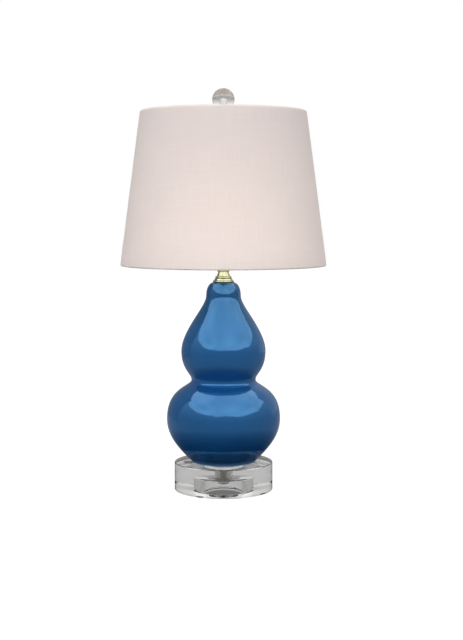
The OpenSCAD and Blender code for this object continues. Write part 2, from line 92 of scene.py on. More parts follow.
def arc(centre, radius, start, end, steps=8):
    """Points along a circle, between two angles in degrees."""
    angles = [radians(start + (end - start) * i / steps) for i in range(steps + 1)]
    return [[centre[0] + radius * cos(a), centre[1] + radius * sin(a)] for a in angles]


def band(inner_r, outer_r, low_z, high_z):
    """Square-cornered section of a ring, or of a disc where inner_r is 0."""
    return [[inner_r, low_z], [outer_r, low_z], [outer_r, high_z], [inner_r, high_z]]


def beside(points, distance):
    """The same line of points, moved aside to its left."""
    moved = []
    for i, p in enumerate(points):
        way = Vector(points[min(i + 1, len(points) - 1)]) - Vector(points[max(i - 1, 0)])
        way.normalize()
        moved.append([p[0] - way.y * distance, p[1] + way.x * distance])
    return moved


def rounded(corners, radii, closed=True, steps=4, most=0.48):
    """An outline with arcs at its corners. radii is one radius, or one per corner. No arc takes more
    than the share most of an edge."""
    count = len(corners)
    if not hasattr(radii, "__len__"):
        radii = [radii] * count
    outline = []
    for i, corner in enumerate(corners):
        at = Vector(corner)
        back = Vector(corners[i - 1]) - at
        on = Vector(corners[(i + 1) % count]) - at
        half = back.angle(on) / 2
        loose_end = not closed and i in (0, count - 1)
        if loose_end or at.x < 1e-6 or radii[i] == 0 or half > radians(87):
            outline.append(list(at))
            continue
        reach = min(radii[i] / tan(half), most * back.length, most * on.length)
        middle = (back.normalized() + on.normalized()).normalized()
        centre = at + middle * reach / cos(half)
        first = at + back.normalized() * reach - centre
        last = at + on.normalized() * reach - centre
        radius = first.length
        outline += [list(centre + radius * first.slerp(last, k / steps)) for k in range(steps + 1)]
    return outline


def lathe(outline, sides=96, reshape=None):
    """Solid of revolution about Z from a closed outline of [radius, height] points.
    reshape(angle, radius, height) may give a point another radius."""
    points, faces, rings = [], [], []
    for r, z in outline:
        count = 1 if r < 1e-6 else sides
        rings.append([len(points) + k for k in range(count)])
        for k in range(count):
            angle = TURN * k / sides
            radius = reshape(angle, r, z) if reshape and count > 1 else r
            points.append(Vector((radius * cos(angle), radius * sin(angle), z)))
    for a, b in zip(rings, rings[1:] + rings[:1]):
        for k in range(sides):
            n = (k + 1) % sides
            if len(a) > 1 and len(b) > 1:
                faces.append((a[k], a[n], b[n], b[k]))
            elif len(a) > 1:
                faces.append((a[k], a[n], b[0]))
            elif len(b) > 1:
                faces.append((a[0], b[n], b[k]))
    return points, faces


def tube(path, radius, sides=20, closed=False):
    """Round tube along a path. radius is a number, or a function of the share of the way along."""
    count = len(path)
    points, faces = [], []
    across = None
    for i, centre in enumerate(path):
        before = path[i - 1] if closed or i else path[0]
        after = path[(i + 1) % count] if closed or i < count - 1 else path[-1]
        way = (after - before).normalized()
        across = way.orthogonal() if across is None else across - way * across.dot(way)
        across.normalize()
        side = way.cross(across)
        r = radius(i / (count - 1)) if callable(radius) else radius
        for k in range(sides):
            angle = TURN * k / sides
            points.append(centre + r * (cos(angle) * across + sin(angle) * side))
    for i in range(count if closed else count - 1):
        a, b = i * sides, (i + 1) % count * sides
        for k in range(sides):
            n = (k + 1) % sides
            faces.append((a + k, a + n, b + n, b + k))
    if not closed:
        faces.append(tuple(range(sides)))
        faces.append(tuple((count - 1) * sides + k for k in range(sides)))
    return points, faces


def placed(shape, matrix):
    points, faces = shape
    return [matrix @ Vector(p) for p in points], faces


def joined(shapes):
    points, faces = [], []
    for more_points, more_faces in shapes:
        start = len(points)
        points += more_points
        faces += [tuple(start + i for i in face) for face in more_faces]
    return points, faces


def shift(x, y, z):
    return Matrix.Translation((x, y, z))


def spun(angle_deg, axis="Z"):
    return Matrix.Rotation(radians(angle_deg), 4, axis)


def ring_shape(node, inner_r, edge, sides=96):
    """Flat ring with rounded edges, as tall and wide as a CAD node."""
    low, high = span(node)
    return lathe(rounded(band(inner_r, high.x, low.z, high.z), edge), sides)


def hex_nut_shape(node, bore_r, chamfer):
    """Hex nut with a bored middle and its corners turned off at both faces."""
    low, high = span(node)
    corner_r = max(high.x, high.y)
    flat_r = corner_r * cos(pi / 6)
    face_r = flat_r - 0.3

    def six_sided(angle, r, z):
        if r < face_r - 0.5:
            return r
        turned = (angle + pi / 6) % (pi / 3) - pi / 6
        return min(r, flat_r / cos(turned))

    corners = [
        [bore_r + 0.5, low.z], [face_r, low.z], [corner_r, low.z + chamfer],
        [corner_r, high.z - chamfer], [face_r, high.z], [bore_r + 0.5, high.z],
        [bore_r, high.z - 0.5], [bore_r, low.z + 0.5]
    ]
    return lathe(rounded(corners, 0.12, steps=2), 192, six_sided)


def mesh_from(name, shape):
    points, faces = shape
    mesh = bpy.data.meshes.new(name)
    mesh.from_pydata([p * MM for p in map(Vector, points)], [], faces)
    work = bmesh.new()
    work.from_mesh(mesh)
    bmesh.ops.recalc_face_normals(work, faces=work.faces)
    work.to_mesh(mesh)
    work.free()
    return mesh


def shade_smooth(mesh, sharp_from):
    mesh.shade_smooth()
    mesh.set_sharp_from_angle(angle=radians(sharp_from))


def add_object(name, data):
    made = bpy.data.objects.new(name, data)
    bpy.context.scene.collection.objects.link(made)
    return made


def new_piece(name, shape, look, *nodes, sharp_from=40):
    """A painted piece that stands for CAD nodes: it rides on their body, and the nodes are hidden."""
    mesh = mesh_from(name, shape)
    shade_smooth(mesh, sharp_from)
    mesh.materials.append(look)
    piece = add_object(name, mesh)
    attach(piece, BODY_OF[nodes[0]])
    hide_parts(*nodes)
    return piece


def paint_faces(piece, look, wanted):
    """Gives a piece a second material where wanted(middle in millimetres, normal) holds for a face."""
    piece.data.materials.append(look)
    for face in piece.data.polygons:
        face.material_index = int(wanted(face.center / MM, face.normal))


def cut_out(piece, shape, sharp_from=40):
    """Cuts a shape out of a piece for good, and clears away the slivers that the cut leaves."""
    cutter = add_object("cutter", mesh_from("cutter", shape))
    cut = piece.modifiers.new("cut", "BOOLEAN")
    cut.operation = "DIFFERENCE"
    cut.solver = "EXACT"
    cut.object = cutter
    bpy.context.view_layer.update()
    whole = piece.evaluated_get(bpy.context.evaluated_depsgraph_get())
    piece.data = bpy.data.meshes.new_from_object(whole)
    piece.modifiers.clear()
    sliver = 0.01 * MM
    work = bmesh.new()
    work.from_mesh(piece.data)
    bmesh.ops.remove_doubles(work, verts=work.verts, dist=sliver)
    bmesh.ops.dissolve_degenerate(work, edges=work.edges, dist=sliver)
    work.to_mesh(piece.data)
    work.free()
    bpy.data.objects.remove(cutter)
    shade_smooth(piece.data, sharp_from)


# ---- Materials ----


class Nodes:
    """The node tree of a material or a world."""

    def __init__(self, holder):
        holder.use_nodes = True
        self.tree = holder.node_tree

    def feed(self, socket, value):
        """Links a socket to another one, or sets it to a plain value."""
        if isinstance(value, bpy.types.NodeSocket):
            self.tree.links.new(value, socket)
        else:
            socket.default_value = value

    def add(self, kind, inputs=None, **settings):
        made = self.tree.nodes.new(kind)
        for key, value in settings.items():
            setattr(made, key, value)
        for socket, value in (inputs or {}).items():
            self.feed(made.inputs[socket], value)
        return made

    def mixed(self, share, a, b):
        return self.add("ShaderNodeMixShader", {0: share, 1: a.outputs[0], 2: b.outputs[0]})

    def by_ray(self, shader, others):
        """A shader with others in its place for some rays, each under its name in the Light Path node."""
        path = self.add("ShaderNodeLightPath").outputs
        for ray, other in others.items():
            shader = self.mixed(path[ray], shader, other)
        return shader


class Look(Nodes):
    """A material built round a Principled shader. Its textures lie in the frame's axes, in metres, and move
    with the piece, unless a place is given."""

    def __init__(self, name, **sockets):
        self.material = bpy.data.materials.new(name)
        super().__init__(self.material)
        self.shader = self.tree.nodes["Principled BSDF"]
        self.output = self.tree.nodes["Material Output"]
        self.place = self.add("ShaderNodeTexCoord").outputs["Object"]
        for socket, value in sockets.items():
            title = socket.replace("_", " ").title().replace("Ior", "IOR")
            self.shader.inputs[title].default_value = value

    def set(self, socket, value):
        self.tree.links.new(value, self.shader.inputs[socket])

    def finish(self, shader):
        """Shows another shader in place of the Principled one."""
        self.tree.links.new(shader.outputs[0], self.output.inputs["Surface"])
        return self.material

    def noise(self, size_mm, detail=3, stretch=(1, 1, 1), place=None):
        """Soft noise whose features are about size_mm across, longer along an axis with a small stretch."""
        scale = [s / (size_mm * MM) for s in stretch]
        mapped = self.add("ShaderNodeMapping", {"Vector": place or self.place, "Scale": scale})
        inputs = {"Vector": mapped.outputs[0], "Scale": 1, "Detail": detail}
        return self.add("ShaderNodeTexNoise", inputs).outputs["Fac"]

    def remap(self, value, low, high, to_low=0, to_high=1):
        inputs = {"Value": value, "From Min": low, "From Max": high, "To Min": to_low, "To Max": to_high}
        return self.add("ShaderNodeMapRange", inputs).outputs["Result"]

    def maths(self, operation, a, b=0.0):
        return self.add("ShaderNodeMath", {0: a, 1: b}, operation=operation).outputs[0]

    def blend(self, share, a, b):
        """Two colours mixed by a share from 0 to 1."""
        inputs = {0: share, 6: a, 7: b}
        return self.add("ShaderNodeMix", inputs, data_type="RGBA").outputs[2]

    def paint(self, share, a, b):
        self.set("Base Color", self.blend(share, a, b))

    def rough(self, value, low, high, to_low, to_high):
        self.set("Roughness", self.remap(value, low, high, to_low, to_high))

    def height(self):
        return self.add("ShaderNodeSeparateXYZ", {"Vector": self.place}).outputs["Z"]

    def bump(self, *heights):
        """Bump from (height, depth in mm, strength) layers, one on another."""
        normal = None
        for height, depth_mm, strength in heights:
            inputs = {"Height": height, "Distance": depth_mm * MM, "Strength": strength}
            if normal:
                inputs["Normal"] = normal
            normal = self.add("ShaderNodeBump", inputs).outputs["Normal"]
        self.set("Normal", normal)


def grey(value):
    return (value, value, value, 1)


def glaze_look():
    """Deep blue glaze: pale on the rims, where it is thin, with painted shade low on the body, and with
    pinholes and soft ripples all over."""
    look = Look("blue_glaze", ior=1.9, specular_ior_level=1.0, specular_tint=(0.20, 0.54, 0.96, 1))
    low, high = (corner * MM for corner in span("gourd_body"))
    cloud = look.noise(55, detail=4, stretch=(1, 1, 1.6))
    grain = look.noise(2.2, detail=3)
    body = look.blend(look.remap(cloud, 0.3, 0.7), (0.0040, 0.054, 0.180, 1), (0.0060, 0.068, 0.215, 1))
    body = look.blend(look.remap(grain, 0.3, 0.75, 0, 0.25), body, (0.004, 0.043, 0.150, 1))
    height = look.height()
    foot = look.remap(height, low.z + 0.0012, low.z + 0.006, 0.85, 0)
    mouth = look.remap(height, high.z - 0.0022, high.z - 0.0002, 0, 0.5)
    rims = look.maths("MAXIMUM", foot, mouth)
    # painted shade: darker from 6 to 22 mm above the foot, where the body curves under
    painted_shade_low = look.remap(height, low.z + 0.006, low.z + 0.022, 0.85, 0)
    body = look.blend(painted_shade_low, body, (0.001, 0.016, 0.055, 1))
    body = look.blend(rims, body, (0.045, 0.16, 0.33, 1))
    look.set("Base Color", body)
    look.rough(look.noise(9), 0.3, 0.7, 0.05, 0.10)
    pits = look.remap(look.noise(3.0, detail=1), 0.74, 0.80, 1, 0)
    look.bump((look.noise(26, detail=2), 0.9, 0.4), (look.noise(4), 0.05, 0.25), (pits, 0.03, 0.4))
    return look.material


def bisque_look():
    """Unglazed clay, where the foot was wiped clean."""
    look = Look("bisque", roughness=0.85)
    grain = look.noise(1.2, detail=6)
    look.paint(grain, (0.40, 0.37, 0.34, 1), (0.50, 0.48, 0.45, 1))
    look.bump((grain, 0.1, 0.6))
    return look.material


def crystal_look():
    """Clear cast crystal, with a faint grey tint and polishing haze."""
    look = Look("crystal", ior=1.50, transmission_weight=1.0)
    tint = look.noise(30, detail=2)
    look.paint(tint, (0.955, 0.955, 0.945, 1), (0.985, 0.985, 0.98, 1))
    look.rough(look.noise(7, detail=5), 0.45, 0.8, 0.0, 0.035)
    look.bump((look.noise(22, detail=1), 0.25, 0.12))
    return look.material


def drilled_look(name, dark, light, clear):
    """The ground inside of a hole drilled in the crystal."""
    look = Look(name, ior=1.50, transmission_weight=clear)
    marks = look.noise(0.6, detail=4, stretch=(1, 1, 3))
    look.paint(marks, grey(dark), grey(light))
    look.rough(marks, 0.3, 0.7, 0.45, 0.65)
    look.bump((marks, 0.05, 0.5))
    return look.material


def brass_look(name, colour, tarnish, roughness, turned=0.35):
    """Brass with fine turning lines round the lamp's axis, and tarnish in patches."""
    look = Look(name, metallic=1.0)
    patches = look.remap(look.noise(6, detail=5), 0.42, 0.72, 0, 0.75)
    look.paint(patches, colour, tarnish)
    lines = look.noise(0.5, detail=3, stretch=(0.02, 0.02, 1))
    wear = look.noise(3, detail=4)
    look.rough(wear, 0.3, 0.75, roughness * 0.7, roughness * 1.5)
    look.bump((lines, 0.03, turned), (wear, 0.04, 0.2))
    return look.material


def steel_look():
    """Zinc-plated steel, slightly mottled."""
    look = Look("zinc_steel", metallic=1.0)
    spangle = look.noise(2.5, detail=4)
    look.paint(spangle, (0.50, 0.51, 0.53, 1), (0.72, 0.73, 0.74, 1))
    look.rough(spangle, 0.3, 0.7, 0.25, 0.45)
    look.bump((look.noise(0.6, stretch=(0.3, 1, 1)), 0.02, 0.3))
    return look.material


def moulded_look(name, dark, light, roughness, grain_mm=0.8, depth=0.05):
    """Moulded rubber, plastic or card: two close shades, and a fine grain in its surface."""
    look = Look(name)
    grain = look.noise(grain_mm, detail=5)
    cloud = look.noise(14, detail=3)
    look.paint(look.remap(cloud, 0.3, 0.7), (*dark, 1), (*light, 1))
    look.rough(grain, 0.3, 0.7, roughness * 0.85, roughness * 1.15)
    look.bump((grain, depth, 0.5))
    return look.material


def glass_black_look():
    look = Look("bulb_black_glass", ior=1.5)
    smear = look.noise(3, detail=4)
    look.paint(smear, (0.006, 0.006, 0.010, 1), (0.02, 0.015, 0.03, 1))
    look.rough(smear, 0.3, 0.7, 0.08, 0.22)
    return look.material


def bulb_glass_look():
    """Frosted envelope of a bulb that is lit low, its glow warmer and dimmer towards its base."""
    look = Look("bulb_frosted", ior=1.5, emission_strength=BULB_GLOW)
    low, high = (corner * MM for corner in span("bulb_glass"))
    frost = look.noise(1.0, detail=5)
    look.paint(frost, (0.66, 0.64, 0.61, 1), (0.76, 0.75, 0.73, 1))
    height = look.height()
    rise = look.remap(height, low.z, low.z + 0.6 * (high.z - low.z))
    look.set("Emission Color", look.blend(rise, (0.75, 0.42, 0.20, 1), (1, 0.74, 0.48, 1)))
    look.rough(frost, 0.3, 0.7, 0.3, 0.5)
    look.bump((frost, 0.02, 0.4))
    return look.material


def translucent(look, colour, share):
    """Lets a share of the light through the look's shader, spread evenly."""
    through = look.add("ShaderNodeBsdfTranslucent", {"Color": colour})
    return look.finish(look.mixed(share, look.shader, through))


def liner_look():
    """White styrene sheet behind the fabric."""
    look = Look("shade_liner_white", ior=1.5)
    haze = look.noise(40, detail=3)
    colour = look.blend(haze, (0.74, 0.735, 0.70, 1), (0.81, 0.805, 0.77, 1))
    look.set("Base Color", colour)
    look.rough(look.noise(2), 0.3, 0.7, 0.35, 0.5)
    look.bump((look.noise(1.2, detail=4), 0.03, 0.3))
    return translucent(look, colour, 0.45)


def fabric_look():
    """Plain-woven off-white linen blend, woven along the flat cut that its UV map holds, in metres."""
    look = Look("shade_fabric", roughness=0.9, sheen_weight=0.25, sheen_roughness=0.5)
    uv = look.add("ShaderNodeTexCoord").outputs["UV"]
    split = look.add("ShaderNodeSeparateXYZ", {"Vector": uv})
    thread_mm = 0.62
    ways = []
    for axis, stretch in (("X", (1, 0.03, 1)), ("Y", (0.03, 1, 1))):
        slub = look.noise(1.4, detail=3, stretch=stretch, place=uv)
        drift = look.maths("MULTIPLY", look.remap(slub, 0.2, 0.8, -0.5, 0.5), 0.9)
        count = look.maths("MULTIPLY", split.outputs[axis], pi / (thread_mm * MM))
        wave = look.maths("SINE", look.maths("ADD", count, drift))
        ways.append((look.maths("ABSOLUTE", wave), slub))
    weave = look.maths("MULTIPLY", ways[0][0], ways[1][0])
    slubs = look.maths("MAXIMUM", ways[0][1], ways[1][1])
    colour = look.blend(look.remap(slubs, 0.45, 0.8), FABRIC_DARK, FABRIC_LIGHT)
    # painted shade: a little darker and greyer in the hollows between the threads
    colour = look.blend(look.remap(weave, 0, 0.8, 0.10, 0), colour, (0.62, 0.56, 0.52, 1))
    look.set("Base Color", colour)
    look.bump((weave, 0.12, 0.35), (slubs, 0.10, 0.3))
    return translucent(look, (0.93, 0.84, 0.76, 1), 0.28)


FABRIC_DARK = (0.82, 0.745, 0.73, 1)
FABRIC_LIGHT = (0.89, 0.81, 0.795, 1)
BULB_GLOW = 0.5

GLAZE = glaze_look()
BISQUE = bisque_look()
CRYSTAL = crystal_look()
DRILLED = drilled_look("crystal_drilled", 0.52, 0.71, 0.85)
FROSTED = drilled_look("crystal_frosted", 0.90, 0.98, 0.4)
BRASS = brass_look("polished_brass", (0.60, 0.585, 0.36, 1), (0.44, 0.43, 0.24, 1), 0.13)
ROD_BRASS = brass_look("rod_brass", (0.66, 0.60, 0.42, 1), (0.40, 0.36, 0.24, 1), 0.32)
CONTACT_BRASS = brass_look("contact_brass", (0.78, 0.56, 0.28, 1), (0.5, 0.32, 0.14, 1), 0.25)
BULB_METAL = brass_look("bulb_metal", (0.75, 0.75, 0.76, 1), (0.55, 0.55, 0.56, 1), 0.28)
STEEL = steel_look()
RUBBER = moulded_look("rubber_black", (0.018, 0.018, 0.018), (0.035, 0.034, 0.033), 0.7)
GASKET = moulded_look("gasket_white", (0.42, 0.40, 0.40), (0.52, 0.50, 0.50), 0.55)
BUSHING = moulded_look("bushing_ivory", (0.66, 0.61, 0.50), (0.76, 0.71, 0.60), 0.4)
CARD = moulded_look("liner_card", (0.24, 0.16, 0.09), (0.36, 0.25, 0.15), 0.85, 0.5, 0.15)
PHENOLIC = moulded_look("phenolic_black", (0.012, 0.010, 0.010), (0.03, 0.026, 0.024), 0.35)
KNOB = moulded_look("knob_black", (0.010, 0.010, 0.011), (0.024, 0.024, 0.025), 0.28)
BLACK_GLASS = glass_black_look()
BULB_GLASS = bulb_glass_look()
LINER = liner_look()
FABRIC = fabric_look()


# ---- Body and plinth ----


def gourd_curves(foot_z, height, lobe_r):
    """The body's outline, from its foot to its mouth, as five cubic curves."""
    foot_r, upper_r, waist_r, neck_r, rim_r = 44.6, 57.6, 44.4, 23.6, 12
    lower, waist, upper, neck = (foot_z + share * height for share in (0.244, 0.4485, 0.618, 0.925))
    top, glaze = foot_z + height, foot_z + 1.6
    return [
        [[foot_r, glaze], [foot_r + 19, glaze + 18.6], [lobe_r, lower - 23.7], [lobe_r, lower]],
        [[lobe_r, lower], [lobe_r, lower + 37.4], [waist_r + 5.7, waist - 7.9], [waist_r, waist]],
        [[waist_r, waist], [waist_r - 3.4, waist + 9.4], [upper_r, upper - 28.4], [upper_r, upper]],
        [[upper_r, upper], [upper_r, upper + 28], [neck_r, neck - 15], [neck_r, neck]],
        [[neck_r, neck], [neck_r, neck + 7], [rim_r + 9.5, top], [rim_r, top]],
    ]


def hand_thrown(angle, r, z):
    """The slight unevenness of a thrown pot: broad soft swells, none near the axis."""
    at = Vector((r * cos(angle), r * sin(angle), 1.3 * z)) / 42
    return r + 0.22 * noise.noise(at) * min(1, max(0, (r - 24) / 12))


def build_gourd():
    low, high = span("gourd_body")
    wall, floor_z, mouth_r = 5, low.z + 8, 7
    curves = gourd_curves(low.z, high.z - low.z, high.x)
    outer = chain(curves, 22)
    inner = [p for p in beside(chain(curves, 8), wall) if p[1] > floor_z]
    foot = [
        [BORE_R, low.z + 2], [33.4, low.z + 2], [34, low.z + 1.4], [34.6, low.z + 0.2],
        [35.4, low.z], [41.6, low.z], [43.4, low.z + 0.35], [44.3, low.z + 0.95]
    ]
    mouth = [[mouth_r + 0.8, high.z], [mouth_r, high.z - 0.8], [mouth_r, high.z - wall]]
    floor = [[inner[0][0] - 2, floor_z], [BORE_R, floor_z]]
    shape = lathe(foot + outer + mouth + inner[::-1] + floor, 160, hand_thrown)
    body = new_piece("glazed_gourd", shape, GLAZE, "gourd_body")

    def unglazed(middle, normal):
        """The foot ring's underside, and all that faces the axis."""
        return middle.z < low.z + 0.3 or middle.x * normal.x + middle.y * normal.y < 0

    paint_faces(body, BISQUE, unglazed)
    outlet_r, reach = 5, 12
    cut_out(body, placed(lathe(band(0, outlet_r, -reach, reach), 48), outlet_matrix()))


def outlet_matrix():
    """Puts +Z along the body's outward normal at the cord outlet, low on the back."""
    low, high = span("gourd_body")
    share = 0.55
    points = cubic(gourd_curves(low.z, high.z - low.z, high.x)[0], 200)
    k = round(share * 200)
    way = Vector(points[k + 1]) - Vector(points[k - 1])
    lean = -90 - degrees(atan2(way.x, way.y))
    return shift(0, points[k][0], points[k][1]) @ spun(lean, "X")


def build_bushing():
    corners = [
        [3.3, -7], [4.2, -7], [4.85, -6.2], [4.85, -0.2], [8, -0.7], [8.2, 0.7],
        [7.2, 2.2], [4.4, 2.6], [3.3, 2.1]
    ]
    shape = placed(lathe(rounded(corners, 0.5), 64), outlet_matrix())
    new_piece("outlet_bushing", shape, BUSHING, "cord_bushing")


def build_plinth():
    low, high = span("crystal_base")
    r, bevel, hole_r, roof_z = high.x, 0.6, 8.2, span("base_washer")[1].z
    corners = [
        [RECESS_R, low.z], [r - bevel, low.z], [r, low.z + bevel], [r, high.z - bevel],
        [r - bevel, high.z], [hole_r, high.z], [hole_r, roof_z], [RECESS_R, roof_z]
    ]
    radii = [0.5, 0.2, 0.2, 0.2, 0.2, 0.3, 0.3, 1.2]
    plinth = new_piece("crystal_plinth", lathe(rounded(corners, radii), 256), CRYSTAL, "crystal_base")
    paint_faces(plinth, DRILLED, lambda middle, _: middle.xy.length < hole_r + 0.2 and middle.z > roof_z)
    plinth.visible_shadow = False


def build_bumpers():
    high = span("bumper_feet")[1]
    r, inset, count, first_at = 6, 3, 4, 239
    ring_r = span("crystal_base")[1].x - r - inset
    stuck = high.z + 0.08
    dome = rounded([
        [0, 0.15], [2.5, 0], [r - 1.3, 0], [r - 0.5, 0.35], [r, high.z - 0.15], [r - 0.1, stuck], [0, stuck]
    ], 0.4)
    feet = [
        placed(lathe(dome, 48), spun(first_at + 360 / count * i) @ shift(ring_r, 0, 0)) for i in range(count)
    ]
    new_piece("rubber_bumpers", joined(feet), RUBBER, "bumper_feet")


def build_underside():
    new_piece("plinth_washer", ring_shape("base_washer", BORE_R, 0.35), STEEL, "base_washer")
    low, high = span("base_lock_washer")
    teeth, root_r, depth = 12, 7, 0.7

    def toothed(angle, r, z):
        """Twisted teeth round the outer edge."""
        return r if r < root_r else r - depth * (0.5 + 0.5 * cos(teeth * angle + (z - low.z) * 0.8))

    section = rounded(band(BORE_R, high.x, low.z, high.z), 0.2)
    new_piece("toothed_washer", lathe(section, 144, toothed), STEEL, "base_lock_washer")
    new_piece("plinth_nut", hex_nut_shape("base_nut", 4.9, 0.7), STEEL, "base_nut")
    new_piece("seat_ring", ring_shape("seat_gasket", BORE_R, 0.3, 128), GASKET, "seat_gasket")


def screw(start_z, end_z, r, pitch):
    """Outline points a quarter pitch apart, up a threaded length."""
    count = round(4 * (end_z - start_z) / pitch)
    return [[r, start_z + (end_z - start_z) * i / count] for i in range(count + 1)]


def helix(pitch, depth, from_r):
    """Reshapes a lathe so that points beyond from_r follow a screw thread."""
    def cut(angle, r, z):
        return r if r < from_r else r - depth * (0.5 + 0.5 * cos(TURN * z / pitch - angle))
    return cut


def build_rod():
    low, high = span("threaded_rod")
    plinth_top = span("crystal_base")[1].z
    bore, r, top_thread = 3.2, high.x, 33
    outline = [[bore, low.z], [r - 0.6, low.z]] + screw(low.z + 0.5, plinth_top + 1, r, ROD_PITCH)
    outline += [[r - 0.3, plinth_top + 2], [r - 0.3, high.z - top_thread - 1]]
    outline += screw(high.z - top_thread, high.z - 0.5, r, ROD_PITCH) + [[r - 0.6, high.z], [bore, high.z]]
    thread = helix(ROD_PITCH, 0.45, r - 0.2)
    new_piece("threaded_pipe", lathe(outline, 40, thread), ROD_BRASS, "threaded_rod")


# ---- Brass neck ----


def turned_brass(name, node, profile):
    """Brass part with a bore for the rod, from the profile of its outside."""
    low, high = span(node)
    outline = [[BORE_R, low.z]] + profile + [[BORE_R, high.z]]
    new_piece(name, lathe(outline, 128), BRASS, node)


def build_neck():
    low, high = span("vase_cap")
    ring_r = span("neck_ring")[1].x
    bead = 1.2
    outline = [[high.x - bead, low.z]] + arc([high.x - bead, low.z + bead], bead, -80, 110, 12)
    outline += cubic([
        [high.x - 2.2, low.z + 2.5], [ring_r + 1.9, low.z + 2.7],
        [ring_r + 0.9, low.z + 3.4], [ring_r + 0.6, high.z - 0.2]
    ], 10)
    turned_brass("brass_cap", "vase_cap", outline + [[ring_r + 0.4, high.z]])

    low, high = span("neck_ring")
    half = (high.z - low.z) / 2
    inner_r = high.x - half
    outline = [[inner_r, low.z]] + arc([inner_r, low.z + half], half, -85, 85, 14) + [[inner_r, high.z]]
    turned_brass("brass_check_ring", "neck_ring", outline)

    low, high = span("neck_tube")
    r, flare, bead = 7.1, high.x - 7.1, 1.1
    bead_z = low.z + 0.476 * (high.z - low.z)
    outline = [[r + flare - 0.2, low.z]] + cubic([
        [r + flare, low.z + 0.2], [r + 1.5, low.z + 1.8], [r + 0.6, low.z + 3.4], [r, bead_z - bead]
    ], 12)
    outline += arc([r, bead_z], bead, -75, 75, 12)
    outline += [[r - 0.6, bead_z + bead + 0.1], [r - 0.6, high.z - 0.3], [r - 0.9, high.z]]
    turned_brass("brass_spindle", "neck_tube", outline)
    new_piece("neck_lock_nut", hex_nut_shape("neck_nut", 5.0, 0.5), BRASS, "neck_nut")


# ---- Harp ----

WIRE_R = 1.7


def harp_path():
    """Centreline of the harp's wire in the XZ plane: leg, outward bend, bulge, straight run and crown, and
    the same back down."""
    low, high = span("harp_wire")
    leg_x = sum(c.x for c in span("ferrule_right")) / 2
    leg_h, out_r, bulge_r, crown_r, crown_half, lean = 20.6, 40, 75, 16, 6, 38
    crown_z = high.z - WIRE_R
    bulge_x = high.x - WIRE_R
    bend_z = low.z + leg_h
    bulge_z = bend_z + (out_r + bulge_r) * sin(radians(lean))
    run_x = crown_half + bulge_r - bulge_x
    run_z = crown_z - bulge_z - crown_r
    straight = sqrt(run_x**2 + run_z**2 - (bulge_r - crown_r) ** 2)
    turn_in = degrees(atan2(run_z, run_x) - atan2(straight, bulge_r - crown_r))
    right = [[leg_x, low.z], [leg_x, low.z + leg_h / 2]]
    right += arc([leg_x + out_r, bend_z], out_r, 180, 180 - lean, 12)
    right += arc([bulge_x - bulge_r, bulge_z], bulge_r, -lean, turn_in, 20)[1:]
    right += arc([crown_half, crown_z - crown_r], crown_r, turn_in, 90, 12)
    whole = right + [[0, crown_z]] + [[-x, z] for x, z in reversed(right)]
    return [Vector((x, 0, z)) for x, z in whole]


def build_harp():
    high = span("harp_wire")[1]
    plate_t, hole_r = 2.8, 2.5
    middle = high.z - WIRE_R
    eye = lathe(rounded(band(hole_r, high.y, middle - plate_t / 2, middle + plate_t / 2), 0.7), 64)
    new_piece("harp_bow", joined([tube(harp_path(), WIRE_R, 20), eye]), BRASS, "harp_wire")

    low, high = span("harp_stud")
    rivet_r, pin_r, flange_r, stud_r, stud_h = 4, 2.4, high.x, 3.1, 11.5
    flange_z = high.z - stud_h
    outline = rounded([
        [0, low.z], [rivet_r, low.z], [rivet_r, low.z + 1.2], [pin_r, low.z + 1.2],
        [pin_r, flange_z - 1.4], [flange_r, flange_z - 1.4], [flange_r, flange_z], [stud_r, flange_z]
    ], [0, 0.5, 0.3, 0.1, 0.1, 0.35, 0.35, 0], closed=False)
    outline += screw(flange_z + 0.4, high.z - 0.8, stud_r, ROD_PITCH) + [[stud_r - 0.7, high.z], [0, high.z]]

    def thread(angle, r, z):
        return helix(ROD_PITCH, 0.4, stud_r - 0.2)(angle, r, z) if z > flange_z + 0.3 else r

    new_piece("shade_stud", lathe(outline, 48, thread), BRASS, "harp_stud")

    for side in ("left", "right"):
        node = f"ferrule_{side}"
        low, high = span(node)
        x = (low.x + high.x) / 2
        lip_r = (high.x - low.x) / 2
        r, bore = lip_r - 0.5, WIRE_R + 0.08
        corners = [
            [bore, low.z], [r, low.z], [r, low.z + 2], [r - 0.35, low.z + 2.4], [r - 0.35, low.z + 3],
            [r, low.z + 3.4], [r, high.z - 1.4], [lip_r, high.z - 0.9], [lip_r, high.z - 0.3],
            [r, high.z], [bore, high.z]
        ]
        shape = placed(lathe(rounded(corners, 0.25), 48), shift(x, 0, 0))
        new_piece(f"harp_sleeve_{side}", shape, BRASS, node)


# ---- Socket, switch and bulb ----


